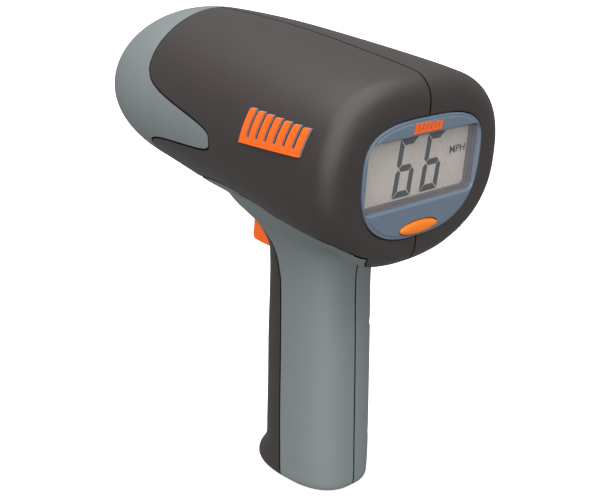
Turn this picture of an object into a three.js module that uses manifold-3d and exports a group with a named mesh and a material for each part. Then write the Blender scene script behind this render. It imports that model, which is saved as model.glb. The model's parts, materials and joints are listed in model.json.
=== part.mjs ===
// A hand-held speed radar gun, standing upright on the base of its handle.
// Millimetres. +X points forward, the way the antenna looks, +Y is the left side and +Z is up.
// The model is laid out from the middle of the handle's base, and then moved back as a whole,
// so that the origin is under the middle of its overall length, on the surface that it stands on.
import * as THREE from "three";
import { mergeVertices } from "three/addons/utils/BufferGeometryUtils.js";
import Module from "manifold-3d";

const wasm = await Module();
wasm.setup();

// ---------------------------------------------------------------- driving dimensions

// How far the middle of the overall length is in front of the middle of the handle's base.
const MIDDLE_X = 25.6;

// The barrel has its own frame: s runs forward from the rear face, v to the left and w up.
const BARREL_ORIGIN = new THREE.Vector3(-57.5, 0, 169.8);
const BARREL_PITCH = THREE.MathUtils.degToRad(5.5);
const BARREL_LENGTH = 165;
const REAR_ROUND = 9.4;
const NOSE_LENGTH = 41.6;
const NOSE_INSET = 13;
const NOSE_SWEEP = THREE.MathUtils.degToRad(62);

// Barrel sections: s, half width, top, bottom, height of the widest point, upper and lower exponent.
const BARREL_STATIONS = [
  [0, 48.8, 12.7, -61.2, -25.0, 2.65, 2.25],
  [21, 49.7, 14.9, -62.2, -23.5, 2.45, 2.15],
  [62, 47.3, 17.6, -59.8, -19.8, 2.1, 1.95],
  [94, 44.6, 18.2, -55.5, -20.0, 2.05, 2.0],
  [127, 41.3, 16.8, -51.6, -20.5, 2.0, 2.05],
  [165, 36.9, 12.5, -50.4, -20.8, 1.95, 2.1],
];

// Handle sections: height, rear x, front x, half width, exponent.
// The top flares into the barrel's underside, and the foot has a toe for the little finger.
const HANDLE_STATIONS = [
  [0, -22.0, 24.0, 17.8, 2.6],
  [2.5, -22.2, 29.0, 18.1, 2.6],
  [5, -22.3, 30.1, 18.3, 2.6],
  [8.6, -22.4, 28.8, 18.3, 2.6],
  [14.9, -22.3, 24.4, 18.3, 2.6],
  [24, -22.2, 23.6, 18.3, 2.6],
  [45, -22.1, 22.6, 18.3, 2.6],
  [64, -22.0, 22.0, 18.3, 2.6],
  [92, -21.6, 20.3, 18.3, 2.6],
  [101, -22.2, 20.2, 18.4, 2.6],
  [106, -24.6, 21.4, 18.9, 2.4],
  [110, -28.5, 24.4, 20.2, 2.25],
  [114, -37.0, 28.4, 22.8, 2.1],
  [118, -44.0, 33.2, 26.4, 1.95],
  [122, -47.5, 38.0, 30.4, 1.9],
  [126, -49.0, 42.0, 34.0, 1.9],
  [131, -51.0, 46.0, 37.0, 1.9],
];
const BASE_ROUND = 3.5;
const BASE_END = 0.5;

// Shell thicknesses. Touching pieces keep one clearance between them.
const GAP = 0.3;
const WALL = 3.2;
const SKIN = 1.3;

// The seam between the housings and the nose bezel, with one long tongue on each side.
const NOSE_SEAM = { front: 123.2, reach: 53.5, centre: -22.4, above: 8.5, below: 6.9 };

// The ledge in the barrel frame (s, w), where the dark shell ends and the grey grip panel begins.
const LEDGE = [
  [9.6, -45.2],
  [26, -43.6],
  [52, -41.2],
  [68, -41.0],
  [81, -42.6],
  [94, -46.8],
  [104, -52],
];
// The front edge of the grip panel as (x, z), from the tip under the barrel down to the base.
const FRONT_SEAM = [
  [53, 125.6],
  [38, 122.5],
  [27, 120],
  [20, 117.4],
  [14.6, 114.2],
  [10.2, 110.2],
  [6.8, 104.6],
  [4.6, 98],
  [3.6, 90],
  [4.0, 60],
  [4.8, 30],
  [4.8, 1.2],
];
const PANEL_BOTTOM = 1.2;
// Under the ledge the barrel draws in to the handle's width, over this depth and along a curve.
// It sets in over one stretch of s and fades out over another.
const BELLY = { half: 18.3, depth: 24, power: 2.7, fadeIn: [0, 6], fadeOut: [90, 104] };
// Behind the handle the dark shell reaches forward under the barrel, in a wedge with a round tip.
const WEDGE = { tip: -31, length: 20, halfWidth: 25.3, power: 1.5, bottom: 101, top: 140 };

// Rear face: display bezel, window, button.
const BEZEL = { halfWidth: 32.7, top: 18.6, bottom: 27.8, centre: -20, exponent: 3.2, lower: 2.6 };
const BEZEL_PROUD = 0.8;
const BEZEL_BACK = 1.0;
const BEZEL_LEDGE = 1.2;
const POST = { v: 17.5, w: -39.5, radius: 2.3, bore: 1.3 };
const WINDOW = { halfWidth: 30.8, top: -8.0, bottom: -34.4, topCorner: 3.0, bottomCorner: 2.8 };
const PANE_FRONT = -0.5;
const SURROUND = { depth: [1.3, 4.3], inset: 1.2, wall: 0.9 };
const LCD = { depth: [4.6, 6.8], bottom: -35, top: -7.4 };
const ZEBRA = { half: 27, thickness: 2.4, upper: -9.5, lower: -33 };
const BOARD_DEPTH = [9.6, 11.2];
const DISPLAY_BOARD = { halfWidth: 31, top: 17, bottom: 26.5, centre: -22, exponent: 3 };
const DISPLAY_SCREW = { head: 2.1, height: 1.6, shank: 1.0, tip: 5 };
const SWITCH = { from: 6.4, half: 3, stemRadius: 1.5 };
const BUTTON = { halfWidth: 10.3, halfHeight: 2.6, centre: -44.2, proud: 1.6, flange: 1.2 };

// Antenna line, in the barrel frame.
const AXIS_W = -19;
const WAVEGUIDE = { halfV: 5.3, halfW: 2.2, depth: 10 };
const HORN_SCREW = { reach: 14.6, head: 2.2, height: 1.6, shank: 1.2, bore: 1.5 };
const MODULE = { from: 60, to: 82.1, half: 17 };
const FLANGE = { from: 82.4, to: 84.7, half: 20 };
const HORN = { from: 85, flangeTo: 87, throat: 5, mouth: 19.5, to: 152, wall: 1.5 };
const RADOME = { halfWidth: 23.4, halfHeight: 18.4, back: 157.6, edge: 159.6, crown: 162 };

// Main board, in the barrel frame.
const BOARD_SCREW = { s: 86, v: 15, head: 2.4, height: 1.8, shank: 1.2, bore: 1.5, boss: 3, reach: 5.5 };
const SHIELD_CAN = { from: 34, to: 58, half: 15, height: 5 };
const RIBBON_HALF = 8;
const MAIN_BOARD = { from: 26, to: 90, half: 20.5, bottom: -46.6, top: -45.0 };

// Trigger and its switch.
const TRIGGER_PIVOT = { x: 29.5, z: 118.5 };
const TRIGGER_HALF = 5.3;
const TRIGGER_SLOT = { half: 5.9, from: 12, bottom: 99.4, top: 124.6 };
const PIN = { radius: 1.5, half: 9, boss: 3.8, bossFrom: 6.2, bossTo: 40 };
const TRIGGER_SPRING = { radius: 3.1, wire: 0.4, half: 1.5, pocket: 4.4, pocketHalf: 2.4 };
const SPRING_TURNS = 3;
const STEPS_PER_TURN = 10;
const TRIGGER_SWITCH = { from: 62, to: 75, half: 3, bottom: -52.9, plungerS: 70, stemRadius: 1.3 };

// Two C cells stand in the handle, nub down, on the sliding door.
const CELL = { radius: 13.1, length: 50, nubRadius: 3, nubHeight: 1.8, x: -0.2, bottom: 4.0 };
const DOOR = { back: -16.2, lowerHalf: 10.2, upperHalf: 11.5, bottom: 0.8, step: 1.8, top: 3.0 };
const CELL_WELL_TOP = 6;
const CONTACT_SPRING = { height: 5, small: 5, large: 9, wire: 0.45 };
const CARRIER = { radius: 12.6, thickness: 2.4 };
const STRIP = { from: 13.8, to: 14.3, half: 2.5, bottom: 6.4 };
const LEAD = { radius: 0.7, top: 126.6, y: 5 };
const GRIP_GROOVES = { count: 5, first: 4, pitch: 3.5, width: 1.2, half: 8, depth: 0.5 };
const DOOR_CONTACT = { halfX: 8, halfY: 6, thickness: 0.3 };
// Cutters and intersected blanks reach at least this far, well clear of the gun's skin.
const FAR = 60;

// The raised marks: where each row of bars starts, and the height of its lower edge.
const SIDE_BADGE = { front: -7.5, base: 158.3, raised: 1.1 };
const DISPLAY_BADGE = { left: 8.6, base: -6.6, raised: 0.5 };

// ---------------------------------------------------------------- helpers

// Smooth values between the rows of a station table, by cubic pieces through every row.
function sample(stations, position) {
  const last = stations.length - 1;
  const next = stations.findIndex((row) => row[0] > position);
  const k = next === -1 ? last - 1 : Math.max(next - 1, 0);
  const span = stations[k + 1][0] - stations[k][0];
  const u = Math.min(Math.max((position - stations[k][0]) / span, 0), 1);
  const slope = (i, column) => {
    const a = stations[Math.max(i - 1, 0)];
    const b = stations[Math.min(i + 1, last)];
    return (b[column] - a[column]) / (b[0] - a[0]);
  };
  return stations[k].map((start, column) => {
    const end = stations[k + 1][column];
    const rise = slope(k, column) * span;
    const fall = slope(k + 1, column) * span;
    const bend = 2 * start - 2 * end + rise + fall;
    return start + u * (rise + u * (3 * end - 3 * start - 2 * rise - fall + u * bend));
  });
}

function signedPower(value, exponent) {
  return Math.sign(value) * Math.abs(value) ** exponent;
}

// A closed solid through rings that have the same number of points, with a fan over each end.
function loft(rings) {
  const count = rings[0].length;
  const points = rings.flat();
  const index = [];
  for (let r = 0; r + 1 < rings.length; r++) {
    for (let i = 0; i < count; i++) {
      const a = r * count + i;
      const b = r * count + ((i + 1) % count);
      index.push(a, b, b + count, a, b + count, a + count);
    }
  }
  for (const [ring, start] of [[rings[0], 0], [rings.at(-1), (rings.length - 1) * count]]) {
    const middle = points.length;
    const centre = new THREE.Vector3();
    ring.forEach((p) => centre.addScaledVector(p, 1 / count));
    points.push(centre);
    for (let i = 0; i < count; i++) {
      const pair = [start + i, start + ((i + 1) % count)];
      index.push(...(start === 0 ? pair.reverse() : pair), middle);
    }
  }
  return new THREE.BufferGeometry().setFromPoints(points).setIndex(index);
}

function solid(geometry, matrix) {
  const bare = geometry.clone();
  bare.deleteAttribute("normal");
  bare.deleteAttribute("uv");
  if (matrix) bare.applyMatrix4(matrix);
  const merged = mergeVertices(bare, 1e-4);
  return new wasm.Manifold(
    new wasm.Mesh({
      numProp: 3,
      vertProperties: new Float32Array(merged.attributes.position.array),
      triVerts: new Uint32Array(merged.index.array),
    }),
  );
}

function geometryOf(made) {
  const { vertProperties, triVerts } = made.getMesh();
  const geometry = new THREE.BufferGeometry();
  geometry.setAttribute("position", new THREE.BufferAttribute(vertProperties, 3));
  geometry.setIndex(new THREE.BufferAttribute(triVerts, 1));
  const flat = geometry.toNonIndexed();
  flat.computeVertexNormals();
  return flat;
}

function box([x0, x1], [y0, y1], [z0, z1]) {
  const made = new THREE.BoxGeometry(x1 - x0, y1 - y0, z1 - z0);
  return made.translate((x0 + x1) / 2, (y0 + y1) / 2, (z0 + z1) / 2);
}

// Round rods along each axis, between two ends, around a centre given in the other two directions.
function rodX(radius, [x0, x1], y, z, sides = 16) {
  const made = new THREE.CylinderGeometry(radius, radius, x1 - x0, sides);
  return made.rotateZ(-Math.PI / 2).translate((x0 + x1) / 2, y, z);
}
function rodY(radius, [y0, y1], x, z, sides = 16) {
  return new THREE.CylinderGeometry(radius, radius, y1 - y0, sides).translate(x, (y0 + y1) / 2, z);
}
function rodZ(radius, [z0, z1], x, y, sides = 16) {
  const made = new THREE.CylinderGeometry(radius, radius, z1 - z0, sides);
  return made.rotateX(Math.PI / 2).translate(x, y, (z0 + z1) / 2);
}

function shapeOf(points, holes = []) {
  const shape = new THREE.Shape(points.map(([a, b]) => new THREE.Vector2(a, b)));
  shape.holes = holes.map((h) => new THREE.Path(h.map(([a, b]) => new THREE.Vector2(a, b))));
  return shape;
}
// An outline in (x, z), extruded along Y.
function extrudeY(points, [y0, y1]) {
  const made = new THREE.ExtrudeGeometry(shapeOf(points), { depth: y1 - y0, bevelEnabled: false });
  return made.rotateX(Math.PI / 2).translate(0, y1, 0);
}
// An outline in (y, z), extruded along X.
function extrudeX(points, [x0, x1], holes = []) {
  const settings = { depth: x1 - x0, bevelEnabled: false };
  const made = new THREE.ExtrudeGeometry(shapeOf(points, holes), settings);
  const turn = new THREE.Matrix4().set(0, 0, 1, x0, 1, 0, 0, 0, 0, 1, 0, 0, 0, 0, 0, 1);
  return made.applyMatrix4(turn);
}

// An egg-shaped outline with its own height and exponent above and below the centre line.
function eggOutline(shape, shrink = 0, steps = 28) {
  const { halfWidth, top, bottom, centre, exponent = 2, lower = exponent } = shape;
  const points = [];
  for (let i = 0; i < steps; i++) {
    const angle = (i / steps) * 2 * Math.PI;
    const rising = Math.sin(angle) > 0;
    const height = rising ? top - shrink : bottom - shrink;
    const power = 2 / (rising ? exponent : lower);
    const v = (halfWidth - shrink) * signedPower(Math.cos(angle), power);
    points.push([v, centre + height * signedPower(Math.sin(angle), power)]);
  }
  return points;
}
// A rectangle with rounded corners, in (v, w).
function windowOutline({ halfWidth, top, bottom, topCorner, bottomCorner }, grow = 0) {
  const points = [];
  for (let quarter = 0; quarter < 4; quarter++) {
    const upper = quarter < 2;
    const radius = (upper ? topCorner : bottomCorner) + grow;
    const side = quarter === 0 || quarter === 3 ? 1 : -1;
    const v = side * (halfWidth + grow - radius);
    const w = upper ? top + grow - radius : bottom - grow + radius;
    for (let i = 0; i <= 3; i++) {
      const angle = (quarter + i / 3) * (Math.PI / 2);
      points.push([v + radius * Math.cos(angle), w + radius * Math.sin(angle)]);
    }
  }
  return points;
}
// A wire or strip along a smooth curve through points.
function wire(points, radius, steps, sides = 5) {
  const section = [];
  for (let i = 0; i < sides; i++) {
    const angle = (i / sides) * 2 * Math.PI;
    section.push([radius * Math.cos(angle), radius * Math.sin(angle)]);
  }
  const path = new THREE.CatmullRomCurve3(points.map((p) => new THREE.Vector3(...p)));
  return new THREE.ExtrudeGeometry(shapeOf(section), { extrudePath: path, steps, bevelEnabled: false });
}

// ---------------------------------------------------------------- scene graph

const group = new THREE.Group();
const gun = new THREE.Group();
gun.position.x = -MIDDLE_X;
group.add(gun);
const barrel = new THREE.Group();
barrel.position.copy(BARREL_ORIGIN);
barrel.rotation.y = -BARREL_PITCH;
gun.add(barrel);
barrel.updateMatrix();
const fromBarrel = barrel.matrix.clone();

const FINISH = {
  darkShell: [0x4e4a49, 0.6, 0],
  greyShell: [0x7f8886, 0.55, 0],
  orange: [0xf07026, 0.5, 0],
  bezelBlue: [0x697d8e, 0.45, 0],
  clear: [0xdfe8ea, 0.1, 0],
  recess: [0x5a555f, 0.6, 0],
  lcd: [0xa59b94, 0.3, 0],
  rubber: [0x222222, 0.8, 0],
  lens: [0x1b1b1d, 0.35, 0],
  board: [0x1f5f3a, 0.5, 0],
  metal: [0xb8bcc0, 0.35, 1],
  steel: [0x8f9498, 0.4, 1],
  darkPart: [0x2a2a2c, 0.5, 0],
  cell: [0x9a7b3c, 0.4, 0.6],
  redWire: [0xb02a20, 0.5, 0],
  blackWire: [0x202020, 0.5, 0],
  cream: [0xd9d2c0, 0.5, 0],
};

function piece(name, made, finish, parent = gun) {
  const geometry = made.isBufferGeometry ? made : geometryOf(made);
  const [color, roughness, metalness] = FINISH[finish];
  const material = new THREE.MeshStandardMaterial({ color, roughness, metalness });
  const mesh = new THREE.Mesh(geometry, material);
  mesh.name = name;
  parent.add(mesh);
  return mesh;
}

// ---------------------------------------------------------------- outer form

function ledgeHeight(s) {
  const next = LEDGE.findIndex((row) => row[0] > s);
  if (next === 0) return LEDGE[0][1];
  if (next === -1) return LEDGE.at(-1)[1];
  const [from, low] = LEDGE[next - 1];
  const [to, high] = LEDGE[next];
  return low + ((high - low) * (s - from)) / (to - from);
}

// The half width of the barrel under the ledge, drawn in towards that of the handle.
function drawnIn(s, v, w, inset) {
  const ledge = ledgeHeight(s);
  const under = ledge - w;
  if (under <= 0) return v;
  const [, halfWidth, , bottom, middle, , lower] = sample(BARREL_STATIONS, s);
  const fall = Math.min((middle - ledge) / (middle - bottom), 1);
  const wide = halfWidth * (1 - fall ** lower) ** (1 / lower);
  const t = Math.min(under / BELLY.depth, 1);
  const limit = BELLY.half + Math.max(wide - BELLY.half, 0) * (1 - t) ** BELLY.power - inset;
  const { smoothstep } = THREE.MathUtils;
  const share = smoothstep(s, ...BELLY.fadeIn) * (1 - smoothstep(s, ...BELLY.fadeOut));
  return v + (Math.sign(v) * Math.min(Math.abs(v), limit) - v) * share;
}

function barrelRing(s, inset) {
  const [, halfWidth, top, bottom, middle, upper, lower] = sample(BARREL_STATIONS, s);
  const ring = [];
  const count = 24;
  for (let i = 0; i < count; i++) {
    const angle = (i / count) * 2 * Math.PI;
    const rising = Math.sin(angle) > 0;
    const exponent = rising ? upper : lower;
    const height = (rising ? top - middle : middle - bottom) - inset;
    const v = (halfWidth - inset) * signedPower(Math.cos(angle), 2 / exponent);
    const w = middle + height * signedPower(Math.sin(angle), 2 / exponent);
    ring.push(new THREE.Vector3(s, drawnIn(s, v, w, inset), w));
  }
  return ring;
}

// The barrel's skin moved inwards by a depth, as a closed solid.
function barrelForm(depth) {
  const places = [];
  const round = Math.max(REAR_ROUND - depth, 2);
  for (const degrees of [0, 45, 90]) {
    const a = THREE.MathUtils.degToRad(degrees);
    places.push([depth + round * (1 - Math.cos(a)), round * (1 - Math.sin(a))]);
  }
  const noseStart = BARREL_LENGTH - NOSE_LENGTH;
  const steps = 4;
  for (let i = 1; i <= steps; i++) {
    places.push([REAR_ROUND + ((noseStart - REAR_ROUND) * i) / steps, 0]);
  }
  for (let i = 1; i <= 3; i++) {
    const b = (NOSE_SWEEP * i) / 3;
    const forward = (NOSE_LENGTH - depth) * (Math.sin(b) / Math.sin(NOSE_SWEEP));
    places.push([noseStart + forward, (NOSE_INSET * (1 - Math.cos(b))) / (1 - Math.cos(NOSE_SWEEP))]);
  }
  return solid(loft(places.map(([s, inset]) => barrelRing(s, inset + depth))), fromBarrel);
}

function handleRing(z, inset) {
  const [, rear, front, halfWidth, exponent] = sample(HANDLE_STATIONS, z);
  const ring = [];
  const count = 20;
  for (let i = 0; i < count; i++) {
    const angle = (i / count) * 2 * Math.PI;
    const x = ((front - rear) / 2 - inset) * signedPower(Math.cos(angle), 2 / exponent);
    const y = (halfWidth - inset) * signedPower(Math.sin(angle), 2 / exponent);
    ring.push(new THREE.Vector3((front + rear) / 2 + x, y, z));
  }
  return ring;
}

function handleForm(depth) {
  const places = [];
  const bottom = depth > SKIN + GAP ? CELL_WELL_TOP : 0;
  const round = Math.max(BASE_ROUND - depth, BASE_END);
  for (const degrees of [0, 45, 90]) {
    const a = THREE.MathUtils.degToRad(degrees);
    places.push([bottom + round * (1 - Math.cos(a)), round * (1 - Math.sin(a))]);
  }
  for (const row of HANDLE_STATIONS) {
    if (row[0] > bottom + round + BASE_END) places.push([row[0], 0]);
  }
  return solid(loft(places.map(([z, inset]) => handleRing(z, inset + depth))));
}

function bodyForm(depth) {
  return barrelForm(depth).add(handleForm(depth));
}

// The wedge of dark shell behind the handle, seen from above and made smaller by a margin.
function rearWedge(shrink) {
  const edge = [];
  for (const t of [0, 0.25, 0.55, 1, 1.5]) {
    edge.push([WEDGE.tip - shrink - WEDGE.length * t ** WEDGE.power, WEDGE.halfWidth * t]);
  }
  const mirrored = edge.slice(1).reverse().map(([x, y]) => [x, -y]);
  const depth = WEDGE.top - WEDGE.bottom;
  const made = new THREE.ExtrudeGeometry(shapeOf([...mirrored, ...edge]), { depth, bevelEnabled: false });
  return solid(made.translate(0, 0, WEDGE.bottom));
}

// Everything below the ledge and behind the front seam, grown outwards by a margin.
function panelRegion(grow) {
  const start = LEDGE[0][0];
  const outline = [[start, -80], ...LEDGE].map(([s, w]) => {
    const p = new THREE.Vector3(s - (s === start ? grow : 0), 0, w + grow);
    p.applyMatrix4(fromBarrel);
    return [p.x, p.z];
  });
  for (const [x, z] of FRONT_SEAM) outline.push([x + grow, Math.max(z - grow, PANEL_BOTTOM - grow)]);
  outline.push([-60, PANEL_BOTTOM - grow]);
  return solid(extrudeY(outline.reverse(), [-60, 60])).subtract(rearWedge(grow));
}

function noseSeam(w) {
  const offset = w - NOSE_SEAM.centre;
  const spread = offset > 0 ? NOSE_SEAM.above : NOSE_SEAM.below;
  return NOSE_SEAM.front - NOSE_SEAM.reach / (1 + (offset / spread) ** 4);
}
// Everything in front of the nose seam, grown backwards by a margin.
function noseRegion(grow) {
  const outline = [];
  for (let w = -70; w <= 30; w += Math.abs(w - NOSE_SEAM.centre) < 16 ? 1.6 : 5) {
    const slope = (noseSeam(w + 0.1) - noseSeam(w - 0.1)) / 0.2;
    const length = Math.hypot(1, slope);
    outline.push([noseSeam(w) - grow / length, w + (grow * slope) / length]);
  }
  outline.push([BARREL_LENGTH + 10, 30], [BARREL_LENGTH + 10, -70]);
  return solid(extrudeY(outline.reverse(), [-60, 60]), fromBarrel);
}

const outer = bodyForm(0);
const skinFloor = bodyForm(SKIN);
const skinSeat = bodyForm(SKIN + GAP);
const cavity = bodyForm(WALL);
const leftSide = solid(box([-200, 200], [GAP / 2, 100], [-50, 300]));
const rightSide = solid(box([-200, 200], [-100, -GAP / 2], [-50, 300]));

// ---------------------------------------------------------------- nose

const noseAxis = { centre: AXIS_W, exponent: 2.1 };
const radomeOutline = (shrink) =>
  eggOutline(
    { ...noseAxis, halfWidth: RADOME.halfWidth, top: RADOME.halfHeight, bottom: RADOME.halfHeight },
    shrink,
  );

function makeNose() {
  const opening = solid(extrudeX(radomeOutline(-GAP), [150, 175]), fromBarrel);
  const shell = outer.intersect(noseRegion(0)).subtract(cavity).subtract(opening);
  piece("nose_bezel", shell, "greyShell");

  const ringAt = (s, shrink) => radomeOutline(shrink).map(([v, w]) => new THREE.Vector3(s, v, w));
  const dome = loft([
    ringAt(RADOME.back, 0),
    ringAt(RADOME.edge, 0),
    ringAt(RADOME.crown - 1, 4),
    ringAt(RADOME.crown, 11),
  ]);
  piece("radome", dome, "lens", barrel);

  const sealBack = RADOME.back - GAP - 2;
  const outline = radomeOutline(-0.3);
  const hole = radomeOutline(2.2).reverse();
  piece("radome_seal", extrudeX(outline, [sealBack, RADOME.back - GAP], [hole]), "rubber", barrel);
}

// ---------------------------------------------------------------- housings

// Screw posts run across the housing at (x, z). The head sits in a counterbore on the right half.
const SCREWS = [
  { name: "housing_screw_grip_lower", x: -16.4, z: 22.3, head: -8.6, post: 3.0, tip: 8 },
  { name: "housing_screw_grip_upper", x: -16.4, z: 73.7, head: -8.6, post: 3.0, tip: 8 },
  { name: "housing_screw_neck_rear", x: -36, z: 125, head: -9, post: 3.6, tip: 9 },
  { name: "housing_screw_rear_top", x: -36, z: 176.3, head: -9, post: 3.6, tip: 9 },
  { name: "housing_screw_middle_top", x: 12, z: 181, head: -9, post: 3.6, tip: 9 },
  { name: "housing_screw_front_top", x: 50, z: 184.6, head: -9, post: 3.6, tip: 9 },
];
const SCREW = { headRadius: 2.6, headHeight: 2, shank: 1.4, bore: 1.7, counterbore: 2.9 };

// Ribs inside the barrel hold the horn.
const HORN_RIBS = [112];

function hornRadiusAt(s) {
  const t = (s - HORN.flangeTo) / (HORN.to - HORN.flangeTo);
  return HORN.throat + (HORN.mouth - HORN.throat) * t + HORN.wall;
}

function housingBody() {
  let body = outer.subtract(cavity);
  const inside = bodyForm(1);
  for (const { x, z, post } of SCREWS) {
    const posts = solid(rodY(post, [-FAR, FAR], x, z, 10)).intersect(inside);
    body = body.add(posts);
  }
  for (const s of HORN_RIBS) {
    const rib = solid(box([s, s + 2], [-FAR, FAR], [-70, 30]), fromBarrel);
    const seat = solid(rodX(hornRadiusAt(s + 2) + GAP, [s - 1, s + 3], 0, AXIS_W, 16), fromBarrel);
    body = body.add(rib.intersect(barrelForm(1)).subtract(seat));
  }
  for (const side of [-1, 1]) {
    const reach = side > 0 ? [PIN.bossFrom, PIN.bossTo] : [-PIN.bossTo, -PIN.bossFrom];
    const pinBoss = rodY(PIN.boss, reach, TRIGGER_PIVOT.x, TRIGGER_PIVOT.z, 14);
    body = body.add(solid(pinBoss).intersect(inside));
    const { s, v, boss } = BOARD_SCREW;
    const boardBoss = rodZ(boss, [-FAR, MAIN_BOARD.bottom - GAP], s, side * v, 12);
    body = body.add(solid(boardBoss, fromBarrel).intersect(inside));
  }
  body = body.subtract(panelRegion(GAP).subtract(skinSeat));
  body = body.subtract(noseRegion(GAP));

  const bezelSeat = eggOutline(BEZEL, -GAP);
  const opening = eggOutline(BEZEL, BEZEL_LEDGE - GAP);
  body = body.subtract(solid(extrudeX(bezelSeat, [-10, BEZEL_BACK + GAP]), fromBarrel));
  body = body.subtract(solid(extrudeX(opening, [-10, 8]), fromBarrel));

  const { half, from, bottom, top } = TRIGGER_SLOT;
  body = body.subtract(solid(box([from, FAR], [-half, half], [bottom, top])));
  const pinEnd = PIN.half + GAP;
  const pinBore = rodY(PIN.radius + GAP, [-pinEnd, pinEnd], TRIGGER_PIVOT.x, TRIGGER_PIVOT.z, 14);
  body = body.subtract(solid(pinBore));

  const lowerHalf = DOOR.lowerHalf + GAP;
  const upperHalf = DOOR.upperHalf + GAP;
  const ceiling = DOOR.top + GAP + DOOR_CONTACT.thickness + 0.1;
  const lower = box([DOOR.back - GAP, FAR], [-lowerHalf, lowerHalf], [-5, DOOR.step + 0.2]);
  const upper = box([DOOR.back - GAP, FAR], [-upperHalf, upperHalf], [DOOR.step - GAP, ceiling]);
  const well = rodZ(CELL.radius + 0.4, [DOOR.top - 0.5, CELL_WELL_TOP + 2], CELL.x, 0, 20);
  for (const cut of [lower, upper, well]) body = body.subtract(solid(cut));

  for (const { x, z, head, tip } of SCREWS) {
    const counterbore = rodY(SCREW.counterbore, [-80, head + SCREW.headHeight + GAP], x, z, 14);
    const bore = rodY(SCREW.bore, [head, tip + 1], x, z, 10);
    body = body.subtract(solid(counterbore)).subtract(solid(bore));
  }
  for (const side of [-1, 1]) {
    const { s, v, bore: radius, reach } = BOARD_SCREW;
    const bore = rodZ(radius, [MAIN_BOARD.bottom - reach - 0.6, MAIN_BOARD.bottom + 1], s, side * v, 12);
    body = body.subtract(solid(bore, fromBarrel));
  }
  return body;
}

function makeHousings() {
  const body = housingBody();
  piece("left_housing", body.intersect(leftSide), "darkShell");
  piece("right_housing", body.intersect(rightSide), "darkShell");
  for (const { name, x, z, head, tip } of SCREWS) {
    const top = head + SCREW.headHeight;
    const shank = rodY(SCREW.shank, [top - 0.5, tip], x, z, 8);
    piece(name, solid(rodY(SCREW.headRadius, [head, top], x, z, 14)).add(solid(shank)), "steel");
  }
}

function makeGripPanels() {
  let skin = outer.intersect(panelRegion(0)).subtract(skinFloor);
  for (const { x, z } of SCREWS) {
    skin = skin.subtract(solid(rodY(SCREW.counterbore + 0.2, [-80, 0], x, z, 14)));
  }
  piece("left_grip_panel", skin.intersect(leftSide), "greyShell");
  piece("right_grip_panel", skin.intersect(rightSide), "greyShell");
}

// ---------------------------------------------------------------- display end

function makeDisplay() {
  const seen = windowOutline(WINDOW, GAP);
  let bezel = solid(extrudeX(eggOutline(BEZEL, 0, 36), [-BEZEL_PROUD, BEZEL_BACK]));
  for (const side of [-1, 1]) {
    const post = rodX(POST.radius, [BEZEL_BACK - 0.2, BOARD_DEPTH[0] - GAP], side * POST.v, POST.w, 12);
    const bore = rodX(POST.bore, [4, BOARD_DEPTH[0]], side * POST.v, POST.w, 12);
    bezel = bezel.add(solid(post)).subtract(solid(bore));
  }
  bezel = bezel.subtract(solid(extrudeX(seen, [-5, BEZEL_BACK + 1])));
  bezel = bezel.subtract(solid(extrudeX(eggOutline(buttonShape(GAP)), [-5, BEZEL_BACK + 1])));
  piece("display_bezel", bezel, "bezelBlue", barrel);

  piece("display_window", extrudeX(windowOutline(WINDOW), [PANE_FRONT, BEZEL_BACK]), "clear", barrel);

  const walls = windowOutline(WINDOW, -SURROUND.inset);
  const well = windowOutline(WINDOW, -SURROUND.inset - SURROUND.wall).reverse();
  piece("display_surround", extrudeX(walls, SURROUND.depth, [well]), "recess", barrel);

  const half = WINDOW.halfWidth;
  piece("lcd_panel", box(LCD.depth, [-half, half], [LCD.bottom, LCD.top]), "lcd", barrel);
  for (const name of ["upper", "lower"]) {
    const { half: reach, thickness, [name]: w } = ZEBRA;
    const span = [w - thickness / 2, w + thickness / 2];
    const strip = box([LCD.depth[1] + GAP, BOARD_DEPTH[0] - GAP], [-reach, reach], span);
    piece(`zebra_connector_${name}`, strip, "rubber", barrel);
  }
  let board = solid(extrudeX(eggOutline(DISPLAY_BOARD), BOARD_DEPTH));
  for (const side of [-1, 1]) {
    board = board.subtract(solid(rodX(POST.bore, [5, 15], side * POST.v, POST.w, 12)));
    const back = BOARD_DEPTH[1] + GAP;
    const { head: radius, height, shank: thin, tip } = DISPLAY_SCREW;
    const head = solid(rodX(radius, [back, back + height], side * POST.v, POST.w, 14));
    const shank = solid(rodX(thin, [tip, back + 0.5], side * POST.v, POST.w, 10));
    const name = `display_board_screw_${side > 0 ? "left" : "right"}`;
    piece(name, head.add(shank), "steel", barrel);
  }
  piece("display_board", board, "board", barrel);
}

function buttonShape(grow) {
  const { halfWidth, halfHeight, centre } = BUTTON;
  return { halfWidth: halfWidth + grow, top: halfHeight + grow, bottom: halfHeight + grow, centre };
}

function makeButton() {
  const flange = { ...buttonShape(0.7), bottom: BUTTON.halfHeight - 0.2 };
  const { centre, proud } = BUTTON;
  const seat = BEZEL_BACK + GAP;
  const cap = solid(extrudeX(eggOutline(buttonShape(0)), [-proud, seat + 0.5]));
  const foot = solid(extrudeX(eggOutline(flange), [seat, seat + BUTTON.flange]));
  piece("mode_button", cap.add(foot), "orange", barrel);

  const { from, half, stemRadius } = SWITCH;
  const body = solid(box([from, BOARD_DEPTH[0] - GAP], [-half, half], [centre - half, centre + half]));
  const well = rodX(stemRadius + GAP, [from - 1, from + 2.2], 0, centre, 14);
  piece("mode_switch", body.subtract(solid(well)), "darkPart", barrel);
  const stem = rodX(stemRadius, [seat + BUTTON.flange + GAP, from + 0.6], 0, centre, 14);
  piece("mode_switch_plunger", stem, "cream", barrel);
}

// ---------------------------------------------------------------- antenna and boards

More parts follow.
